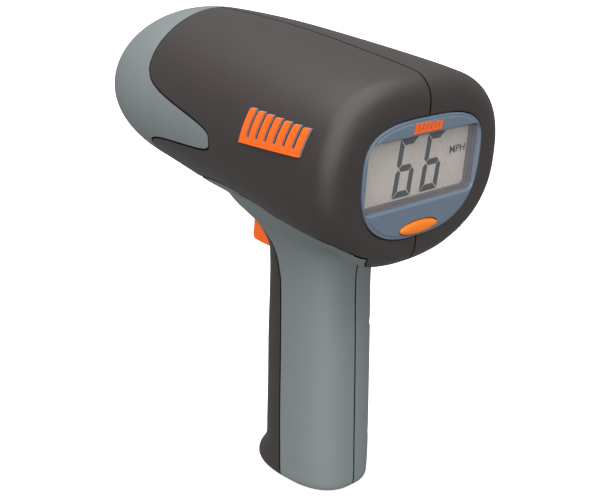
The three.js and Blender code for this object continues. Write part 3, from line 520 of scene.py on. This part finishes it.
def coordinates(mesh):
    flat = np.zeros(len(mesh.vertices) * 3)
    mesh.vertices.foreach_get("co", flat)
    return flat.reshape(-1, 3)


def relaxed(points, edges, amount, rounds):
    """Moves each point towards the mean of its neighbours, by its own amount."""
    count = len(points)
    a, b = edges[:, 0], edges[:, 1]
    share = np.bincount(a, minlength=count) + np.bincount(b, minlength=count)
    for step in rounds:
        total = np.stack([np.bincount(a, points[b, k], count) + np.bincount(b, points[a, k], count)
                          for k in range(3)], 1)
        points = points + (total / share[:, None] - points) * (amount * step)[:, None]
    return points


def skin_distance(a, b, half_a, half_b, power):
    """How far a point is from a superellipse, measured along the line from its centre."""
    reach = (abs(a / half_a) ** power + abs(b / half_b) ** power) ** (1 / power)
    return math.hypot(a, b) * abs(1 - 1 / max(reach, 0.01))


def outer_form():
    """Barrel and handle as one smooth skin with a soft fillet where they meet."""
    whole = join(barrel_form(), handle_form())
    whole = modified(whole, ("REMESH", {"mode": "VOXEL", "voxel_size": CELL * MM, "adaptivity": 0.0}))
    edges = np.zeros(len(whole.edges) * 2, int)
    whole.edges.foreach_get("vertices", edges)
    edges = edges.reshape(-1, 2)
    points = coordinates(whole)
    x, y, z = (points / MM + [MIDDLE_X, 0, 0]).T
    points = relaxed(points, edges, np.ones(len(points)), EVEN_OUT)
    # The fillet: strongest on the line where the handle runs into the barrel.
    c, d = math.cos(PITCH), math.sin(PITCH)
    s = (x - BARREL_ORIGIN[0]) * c + (z - BARREL_ORIGIN[2]) * d
    w = (z - BARREL_ORIGIN[2]) * c - (x - BARREL_ORIGIN[0]) * d
    distance = np.full(len(points), np.inf)
    for i in np.nonzero((z > FILLET_LOW) & (z < HANDLE[-1, 0]))[0]:
        _, half, _, bottom, middle, _, power = sample(BARREL, s[i])
        to_barrel = skin_distance(y[i], w[i] - middle, half, middle - bottom, power)
        _, rear, front, wide, power = sample(HANDLE, z[i])
        to_handle = skin_distance(x[i] - (front + rear) / 2, y[i], (front - rear) / 2, wide, power)
        distance[i] = max(to_barrel, to_handle)
    points = relaxed(points, edges, np.clip(FILLET[0] - distance / FILLET[1], 0, 1), [0.5] * FILLET[2])
    whole.vertices.foreach_set("co", points.ravel())
    whole.update()
    return whole


def offset(mesh, depth):
    """The mesh with every point moved inwards along its normal."""
    moved = mesh.copy()
    normals = np.zeros(len(mesh.vertices) * 3)
    mesh.vertex_normals.foreach_get("vector", normals)
    points = coordinates(mesh) - normals.reshape(-1, 3) * depth * MM
    moved.vertices.foreach_set("co", points.ravel())
    moved.update()
    return moved


# ---------------------------------------------------------------- materials


def linear(red, green, blue):
    """An sRGB colour of 0 to 255 as linear values."""
    parts = []
    for value in (red, green, blue):
        value /= 255
        parts.append(value / 12.92 if value <= 0.04045 else ((value + 0.055) / 1.055) ** 2.4)
    return (*parts, 1.0)


def moulded(name, color, rough, grain, bump, mottle, **settings):
    """Moulded surface: fine grain in height, colour and roughness. grain is its size in mm.

    bump is the strength of the relief, and mottle the share by which the colour varies.
    """
    material = bpy.data.materials.new(name)
    material.use_nodes = True
    nodes, links = material.node_tree.nodes, material.node_tree.links
    shader = nodes["Principled BSDF"]
    for key, value in settings.items():
        shader.inputs[key.replace("_", " ")].default_value = value
    place = nodes.new("ShaderNodeTexCoord")

    def noise(size, detail):
        made = nodes.new("ShaderNodeTexNoise")
        made.inputs["Scale"].default_value = 1 / (size * MM)
        made.inputs["Detail"].default_value = detail
        links.new(place.outputs["Object"], made.inputs["Vector"])
        return made.outputs["Fac"]

    fine, broad = noise(grain * 2, 2.0), noise(14, 3.0)
    both = nodes.new("ShaderNodeMix")
    both.inputs["Factor"].default_value = 0.55
    links.new(fine, both.inputs["A"])
    links.new(broad, both.inputs["B"])
    tint = nodes.new("ShaderNodeValToRGB")
    low, high = tint.color_ramp.elements
    low.position, high.position = 0.3, 0.7
    low.color = [c * (1 - mottle) for c in color[:3]] + [1]
    high.color = [min(c * (1 + mottle), 1) for c in color[:3]] + [1]
    links.new(both.outputs["Result"], tint.inputs["Fac"])
    links.new(tint.outputs["Color"], shader.inputs["Base Color"])
    spread = nodes.new("ShaderNodeMapRange")
    spread.inputs["To Min"].default_value = max(rough - 0.06, 0.02)
    spread.inputs["To Max"].default_value = rough + 0.06
    links.new(both.outputs["Result"], spread.inputs["Value"])
    links.new(spread.outputs["Result"], shader.inputs["Roughness"])
    height = nodes.new("ShaderNodeBump")
    height.inputs["Strength"].default_value = bump
    height.inputs["Distance"].default_value = grain * 0.3 * MM
    links.new(fine, height.inputs["Height"])
    links.new(height.outputs["Normal"], shader.inputs["Normal"])
    return material


def make_materials():
    orange = linear(250, 104, 20)
    return {
        "dark_shell": moulded("soft_touch_dark", linear(55, 49, 48), 0.46, 0.3, 0.3, 0.06),
        "grey_shell": moulded("grip_grey", linear(122, 130, 131), 0.48, 0.3, 0.25, 0.03),
        "orange": moulded("orange_plastic", orange, 0.45, 0.2, 0.08, 0.03),
        # The trigger's orange glows a little: painted light that keeps it bright in the shade under the
        # barrel.
        "trigger_orange_painted_light": moulded("trigger_orange_painted_light", orange, 0.45, 0.2, 0.08, 0.03,
                                  Emission_Color=orange, Emission_Strength=0.25),
        "button_orange": moulded("button_orange", linear(255, 130, 22), 0.36, 0.2, 0.05, 0.03),
        "bezel": moulded("bezel_blue", linear(104, 119, 136), 0.42, 0.2, 0.15, 0.03),
        "recess": moulded("recess_plastic", linear(92, 86, 92), 0.45, 0.2, 0.1, 0.04),
        "lcd": moulded("lcd_glass", linear(196, 186, 178), 0.28, 0.5, 0.02, 0.035),
        "ink": moulded("lcd_ink", linear(30, 36, 33), 0.35, 0.5, 0.02, 0.03),
        # Near-black for the lip and the strips in the seams: painted shade for the dark inside of the gaps.
        "seal": moulded("seam_shade_black", linear(7, 6, 6), 0.8, 0.3, 0.1, 0.1, Specular_IOR_Level=0.1),
        "radome": moulded("radome_plastic", linear(34, 33, 35), 0.4, 0.3, 0.2, 0.08),
        # Light grey for the lower layer of the side marks: a painted highlight on the sides of the raised
        # bars.
        "badge_painted_highlight": moulded("badge_painted_highlight_grey", linear(150, 156, 164), 0.35, 0.2, 0.1, 0.04),
        "board": moulded("solder_mask", linear(26, 92, 52), 0.35, 0.6, 0.2, 0.25),
        "cast": moulded("cast_zinc", linear(190, 192, 196), 0.38, 0.5, 0.4, 0.08, Metallic=1.0),
        "tin": moulded("tinned_steel", linear(196, 196, 192), 0.3, 0.3, 0.15, 0.06, Metallic=1.0),
        "steel": moulded("zinc_plated_steel", linear(168, 170, 174), 0.32, 0.25, 0.2, 0.08, Metallic=1.0),
        "black_part": moulded("black_nylon", linear(40, 40, 42), 0.45, 0.25, 0.2, 0.08),
        "cream_part": moulded("cream_plastic", linear(214, 206, 184), 0.4, 0.3, 0.1, 0.04),
        "cell": moulded("cell_sleeve", linear(176, 132, 60), 0.3, 0.4, 0.08, 0.08, Metallic=0.5),
        "lead_positive": moulded("red_wire", linear(170, 36, 28), 0.45, 0.2, 0.1, 0.05),
        "lead_negative": moulded("black_wire", linear(24, 22, 22), 0.45, 0.2, 0.1, 0.05),
        "window": moulded("clear_window", linear(225, 232, 236), 0.06, 0.5, 0.0, 0.01, Alpha=0.06),
    }


SLOTS = make_materials()


def piece(name, mesh, slot, body, *nodes, material=None):
    """A visible piece on a body, in a material slot, in place of CAD nodes if any are given."""
    mesh.materials.clear()
    mesh.materials.append(SLOTS[material or slot])
    mesh.shade_smooth()
    mesh.set_sharp_from_angle(angle=math.radians(SHARP_ANGLE))
    made = add(name, mesh)
    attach(made, body)
    if nodes:
        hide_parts(*nodes)
    return made


# ---------------------------------------------------------------- seams and openings


def panel_outline():
    """Everything below the ledge and behind the front seam, as (x, z)."""
    line = rounded(LEDGE)
    ledge = from_barrel(np.stack([line[:, 0], 0 * line[:, 0], line[:, 1]], 1))[:, [0, 2]]
    start = from_barrel([(LEDGE[0][0], 0, -80)])[:, [0, 2]]
    return np.vstack([start, ledge, rounded(FRONT_SEAM), [(-60, FRONT_SEAM[-1][1])]])


def nose_outline():
    """Everything in front of the nose seam, as (s, w), with one long tongue on each side."""
    line = []
    for w in np.concatenate([np.arange(-70, -40, 2.5), np.arange(-40, -8, 0.5), np.arange(-8, 31, 2.5)]):
        away = w - NOSE_SEAM["centre"]
        spread = NOSE_SEAM["above" if away > 0 else "below"]
        line.append((NOSE_SEAM["front"] - NOSE_SEAM["reach"] / (1 + (away / spread) ** 4), w))
    return np.array(line + [(BARREL_LENGTH + 10, 30), (BARREL_LENGTH + 10, -70)])


def panel_region(grow):
    share = np.linspace(-1.6, 1.6, 41)
    tip = WEDGE["tip"] - grow
    wedge = np.stack([tip - WEDGE["length"] * np.abs(share) ** WEDGE["power"], WEDGE["half"] * share], 1)
    panel = prism(grown(panel_outline(), grow), -CUTTER_HALF, CUTTER_HALF, across)
    return cut(panel, prism(wedge, WEDGE["low"], WEDGE["high"], upward))


def nose_region(grow):
    return prism(grown(nose_outline(), grow), -CUTTER_HALF, CUTTER_HALF, side_on_barrel)


def seam_strips(light):
    """The near-black strips in the seams, a little narrower than the gaps: painted shade for their depth.
    """
    low, high = STRIP["play"], SEAM - STRIP["play"]
    middle = prism(rectangle(*WHOLE_SIDE), -high / 2, high / 2, across)
    gaps = join(cut(middle, nose_region(low)), cut(nose_region(high), nose_region(low)))
    gaps = join(gaps, cut(panel_region(high), panel_region(low), nose_region(low)))
    return keep(cut(offset(light, STRIP["top"]), offset(light, STRIP["bottom"])), gaps)


def flat_block(row):
    """A block from a rectangle in (x, y) and its lowest and highest z."""
    outline, low, high = row
    return prism(rectangle(*outline), low, high, upward)


def side_region(side):
    return prism(rectangle(*WHOLE_SIDE), *sorted((side * SEAM / 2, side * 100)), across)


def shared_openings():
    """What is cut through both the skin and the lip: the slot of the trigger and that of the door."""
    outline = rectangle(-SLOT["half"], SLOT["half"], SLOT["low"], SLOT["high"], SLOT["corner"])
    return [prism(outline, SLOT["from"], SLOT["to"], forward), flat_block(DOOR_SLOT), flat_block(RAIL_SLOT)]


def counterbores():
    """Bores from the right side, down to just past each screw's head."""
    return [prism(circle(BORE_RADIUS, x, z), -80, head + 2.3, across) for x, z, head in SCREWS.values()]


# ---------------------------------------------------------------- shell pieces


def make_shell(outer):
    light = modified(outer, ("DECIMATE", {"ratio": INNER_SHARE}))
    skin = cut(outer, offset(light, SKIN))
    lip = cut(offset(light, LIP[0]), offset(light, LIP[1]))
    openings = shared_openings()
    radome_hole = prism(egg(RADOME, PLAY), 150, 175, along)
    radome_edge = flared(lambda grow: egg(RADOME, grow), RADOME_EDGE)
    seat = prism(egg(BEZEL, PLAY), -10, SEAT_BACK, along)
    seat_edge = flared(lambda grow: egg(BEZEL, grow), SEAT_EDGE)

    nose = cut(keep(skin, nose_region(0)), radome_hole, radome_edge)
    piece("nose_shell", nose, "grey_shell", "root", "nose_bezel")

    bores = counterbores()
    for side, name in ((1, "left"), (-1, "right")):
        half = keep(skin, side_region(side))
        dark = cut(half, panel_region(SEAM), nose_region(SEAM), seat, seat_edge, *openings)
        grey = cut(keep(half, panel_region(0)), openings[0])
        if side < 0:
            dark = cut(dark, *bores)
            grey = cut(grey, *bores)
        piece(f"{name}_shell", dark, "dark_shell", "root", f"{name}_housing")
        piece(f"{name}_grip", grey, "grey_shell", "root", f"{name}_grip_panel")

    opening = prism(egg(BEZEL, -0.3), -10, 8, along)
    lip = cut(join(lip, seam_strips(light)), opening, seat, radome_hole, *openings)
    inside = offset(light, LIP[0])
    for x, z, _ in SCREWS.values():
        post = prism(circle(POST_RADIUS, x, z), -CUTTER_HALF, 8, across)
        lip = join(lip, keep(post, inside))
    lip = cut(lip, *bores)
    # The lip and the strips in it are near-black, painted shade seen through the seams.
    piece("seam_lip", lip, "dark_shell", "root", material="seal")


def make_screws():
    for name, (x, z, head) in SCREWS.items():
        inner = head + HEAD["height"]
        edge = HEAD["radius"]
        made = rounded_plate(lambda grow: circle(edge + grow, x, z), head, inner, HEAD["round"], across)
        made = join(made, prism(circle(SHANK["radius"], x, z, 20), inner - 0.5, SHANK["tip"], across))
        for long, wide in CROSS:
            bar = rectangle(x - long, x + long, z - wide, z + wide)
            made = cut(made, prism(bar, head - 1, head + 1.2, across))
        piece(f"{name}_screw", made, "steel", "root", f"housing_screw_{name}")


# ---------------------------------------------------------------- display end


def digit_segments(origin_v):
    """The strokes of a seven-segment 6, as outlines in (v, w), read from behind the gun."""
    wide, high = DIGITS["wide"], DIGITS["high"]
    middle = high / 2
    t, h = DIGITS["stroke"], DIGITS["stroke"] / 2
    shapes = [
        [(0, high), (wide, high), (wide - t, high - t), (t, high - t)],
        [(0, high), (t, high - t), (t, middle + h), (h, middle), (0, middle + h)],
        [(h, middle), (t, middle + h), (wide - t, middle + h),
         (wide - h, middle), (wide - t, middle - h), (t, middle - h)],
        [(0, 0), (0, middle - h), (h, middle), (t, middle - h), (t, t)],
        [(wide, 0), (wide, middle - h), (wide - h, middle), (wide - t, middle - h), (wide - t, t)],
        [(0, 0), (wide, 0), (wide - t, t), (t, t)],
    ]
    placed = []
    for shape in shapes:
        flat = grown(shape, -DIGIT_GAP)
        v = origin_v - flat[:, 0] - DIGIT_LEAN * flat[:, 1]
        placed.append(np.stack([v, DIGITS["low"] + flat[:, 1]], 1))
    return placed


def unit_mesh(body, depth):
    """The unit beside the digits in flat letters, scaled to a box, read from behind."""
    curve = bpy.data.curves.new("letters", "FONT")
    curve.body = body
    curve.resolution_u = 3
    curve.offset = UNIT["bold"]
    holder = add("letters", curve)
    mesh = bpy.data.meshes.new_from_object(holder.evaluated_get(bpy.context.evaluated_depsgraph_get()))
    bpy.data.objects.remove(holder)
    flat = coordinates(mesh)[:, :2]
    flat = (flat - flat.min(0)) / (flat.max(0) - flat.min(0))
    v = UNIT["left"] - flat[:, 0] * UNIT["wide"]
    w = UNIT["low"] + flat[:, 1] * (UNIT["high"] - UNIT["low"])
    rows = np.stack([v, w, np.full(len(flat), depth)], 1)
    mesh.vertices.foreach_set("co", metres(along(rows)).ravel())
    mesh.update()
    return modified(mesh, ("SOLIDIFY", {"thickness": 0.06 * MM, "offset": 0}))


def merged(meshes):
    work = bmesh.new()
    for mesh in meshes:
        work.from_mesh(mesh)
    result = bpy.data.meshes.new("part")
    work.to_mesh(result)
    work.free()
    return result


def make_display():
    front, width, radius = BEZEL_FRONT, RIM["width"], BEZEL_ROUND
    rim = rounded_plate(lambda grow: egg(BEZEL, grow), front + RIM["step"], BEZEL_BACK, radius, along)
    face = rounded_plate(lambda grow: egg(BEZEL, grow - width), front, 0.5, radius, along)
    hole = prism(egg(BUTTON, PLAY), -5, 5, along)
    edge = flared(lambda grow: egg(BUTTON, grow), BUTTON_EDGE)
    plate = cut(join(rim, face), flared(window, WINDOW_EDGE), hole, edge)
    piece("bezel_plate", plate, "bezel", "root", "display_bezel")

    pane = prism(window(-0.2), *PANE, along)
    piece("window_pane", pane, "window", "root", "display_window")

    grow, low, high = RECESS
    walls = prism(window(grow), low, high, along)
    for grow, low, high in RECESS_STEPS:
        walls = cut(walls, prism(window(grow), low, high, along))
    piece("recess_walls", walls, "recess", "root", "display_surround")

    glass = prism(rectangle(*LCD_GLASS), LCD_FRONT, LCD_BACK, along)
    piece("lcd_glass", glass, "lcd", "root", "lcd_panel")
    front, back = LCD_FRONT - INK[0], LCD_FRONT - INK[1]
    ink = []
    for start in (DIGITS["start"], DIGITS["start"] - DIGITS["pitch"]):
        ink += [prism(outline, front, back, along) for outline in digit_segments(start)]
    ink.append(unit_mesh("MPH", front))
    piece("lcd_segments", merged(ink), "lcd", "root", material="ink")


def make_button():
    cap = flared(lambda grow: egg(BUTTON, grow), BUTTON_CAP)
    piece("button_cap", cap, "orange", "mode_button", "mode_button", material="button_orange")


# ---------------------------------------------------------------- trigger, nose, base, marks


def make_trigger():
    """The lever's side view runs down its front, along its foot and up its back, as (x, z)."""
    x, z = TRIGGER_PIVOT
    front = [(x + 1.2, z + 4.1), (x + 3.6, z + 2.4), (34.9, 114.6),
             (35.3, 110.8), (35.6, 107), (36.1, 103.9)]
    foot = [(36.1, 103.9), (35.9, 102.2), (34.4, 101.3), (30, 100.6), (25.6, 100.3)]
    back = [(25.2, 103.5), (25.0, 109), (23.6, 113.2), (19.6, 115.6), (15.8, 117), (15.2, 121.0),
            (19.2, 121.2), (24.2, 121.0), (x - 1.8, z + 3.8)]
    outline = np.vstack([rounded(front)[:-1], rounded(foot), back])
    lever = prism(outline, -TRIGGER_HALF, TRIGGER_HALF, across)
    bevel = {"width": TRIGGER_BEVEL * MM, "segments": 4,
             "limit_method": "ANGLE", "angle_limit": math.radians(50)}
    lever = modified(lever, ("BEVEL", bevel))
    for radius, half in (TRIGGER_BORE, SPRING_POCKET):
        lever = cut(lever, prism(circle(radius, x, z), -half, half, across))
    # The lever glows a little: painted light for its bright orange in the barrel's shade.
    piece("trigger_lever", lever, "orange", "trigger", "trigger", material="trigger_orange_painted_light")


def make_radome():
    front, back, radius = RADOME_COVER["front"], RADOME_COVER["back"], RADOME_COVER["round"]
    cover = rounded_plate(lambda grow: egg(RADOME, grow), front, back, radius, along)
    piece("radome_cover", cover, "radome", "root", "radome")


def make_door(outer):
    door = keep(join(flat_block(DOOR_TONGUE), flat_block(DOOR_RAILS)), outer)
    groove = GRIP_GROOVES
    for i in range(groove["count"]):
        start = groove["start"] + i * groove["pitch"]
        outline = (start, start + groove["width"], -groove["half"], groove["half"], groove["corner"])
        door = cut(door, flat_block((outline, -1, groove["top"])))
    piece("door_cover", door, "dark_shell", "battery_door", "battery_door")


def bars(count, pitch, bar, first, loss, slant, rail):
    """A row of slanted bars on one rail, a plain pattern that stands for speed."""
    points = [(0, 0), (count * pitch - (pitch - bar), 0)]
    for i in reversed(range(count)):
        start, height = i * pitch, first - loss * i
        points += [(start + bar + slant * height, height), (start + slant * height, height)]
        if i > 0:
            points += [(start + slant * rail, rail), (start - pitch + bar + slant * rail, rail)]
    return np.array(points)


def make_badges(outer):
    outline = bars(*SIDE_MARK)
    placed = np.stack([SIDE_MARK_AT[0] - outline[:, 0], SIDE_MARK_AT[1] + outline[:, 1]], 1)
    for side, name in ((1, "left"), (-1, "right")):
        for layer, low, high, material in MARK_LAYERS:
            skin = cut(offset(outer, -high), offset(outer, -low))
            mark = keep(prism(placed, *sorted((side * 20, side * CUTTER_HALF)), across), skin)
            nodes = (f"{name}_badge",) if layer == "face" else ()
            piece(f"{name}_badge_{layer}", mark, "orange", "root", *nodes, material=material)
    small = bars(*SMALL_MARK)
    placed = np.stack([SMALL_MARK_AT[0] - small[:, 0], SMALL_MARK_AT[1] + small[:, 1]], 1)
    back, front = (BEZEL_FRONT - depth for depth in SMALL_MARK_DEPTH)
    mark = prism(placed, back, front, along)
    piece("display_badge_bars", mark, "orange", "root", "display_badge")


# ---------------------------------------------------------------- carried-over nodes, camera, light


def dress_nodes():
    """Gives the inner parts, which keep their CAD shapes, the material of their slot."""
    for row in frame["record"]["subparts"]:
        mesh = frame["nodes"][row["node"]].data
        mesh.materials.clear()
        mesh.materials.append(SLOTS[row["material_slot"]])


def aim(thing, place, target):
    thing.location = place
    thing.rotation_euler = (Vector(target) - Vector(place)).to_track_quat("-Z", "Y").to_euler()


def make_camera():
    camera = bpy.data.cameras.new("camera")
    camera.lens = CAMERA["lens"]
    camera.sensor_width = CAMERA["sensor"]
    camera.clip_start = 0.01
    holder = add("camera", camera)
    place, target = metres([CAMERA["place"], CAMERA["target"]])
    aim(holder, place, target)
    bpy.context.scene.camera = holder


def make_studio():
    ground = bpy.data.meshes.new("floor")
    half = FLOOR_HALF
    corners = [(-half, -half, 0), (half, -half, 0), (half, half, 0), (-half, half, 0)]
    ground.from_pydata(corners, [], [(0, 1, 2, 3)])
    paper = moulded("floor_paper", PAPER, 0.9, 5, 0.02, 0.005, Emission_Strength=PAPER_GLOW)
    ground.materials.append(paper)
    ground = add("floor", ground)
    ground.visible_diffuse = False
    ground.visible_glossy = False
    world = bpy.data.worlds.new("world")
    world.use_nodes = True
    nodes, links = world.node_tree.nodes, world.node_tree.links
    ambient = nodes["Background"]
    ambient.inputs["Color"].default_value = WHITE
    ambient.inputs["Strength"].default_value = AMBIENT
    # The paper behind the gun is as bright as the paper under it.
    backdrop = nodes.new("ShaderNodeBackground")
    backdrop.inputs["Color"].default_value = WHITE
    seen = nodes.new("ShaderNodeLightPath")
    choice = nodes.new("ShaderNodeMixShader")
    links.new(seen.outputs["Is Camera Ray"], choice.inputs["Fac"])
    links.new(ambient.outputs["Background"], choice.inputs[1])
    links.new(backdrop.outputs["Background"], choice.inputs[2])
    links.new(choice.outputs["Shader"], nodes["World Output"].inputs["Surface"])
    bpy.context.scene.world = world
    for name, direction, energy, angle in SUNS:
        sun = bpy.data.lights.new(name, "SUN")
        sun.angle = math.radians(angle)
        sun.energy = energy
        aim(add(name, sun), direction, (0, 0, 0))
    bpy.context.scene.view_settings.view_transform = "Standard"


make_camera()
make_studio()
dress_nodes()
outer = outer_form()
make_shell(outer)
make_screws()
make_display()
make_button()
make_trigger()
make_radome()
make_door(outer)
make_badges(outer)
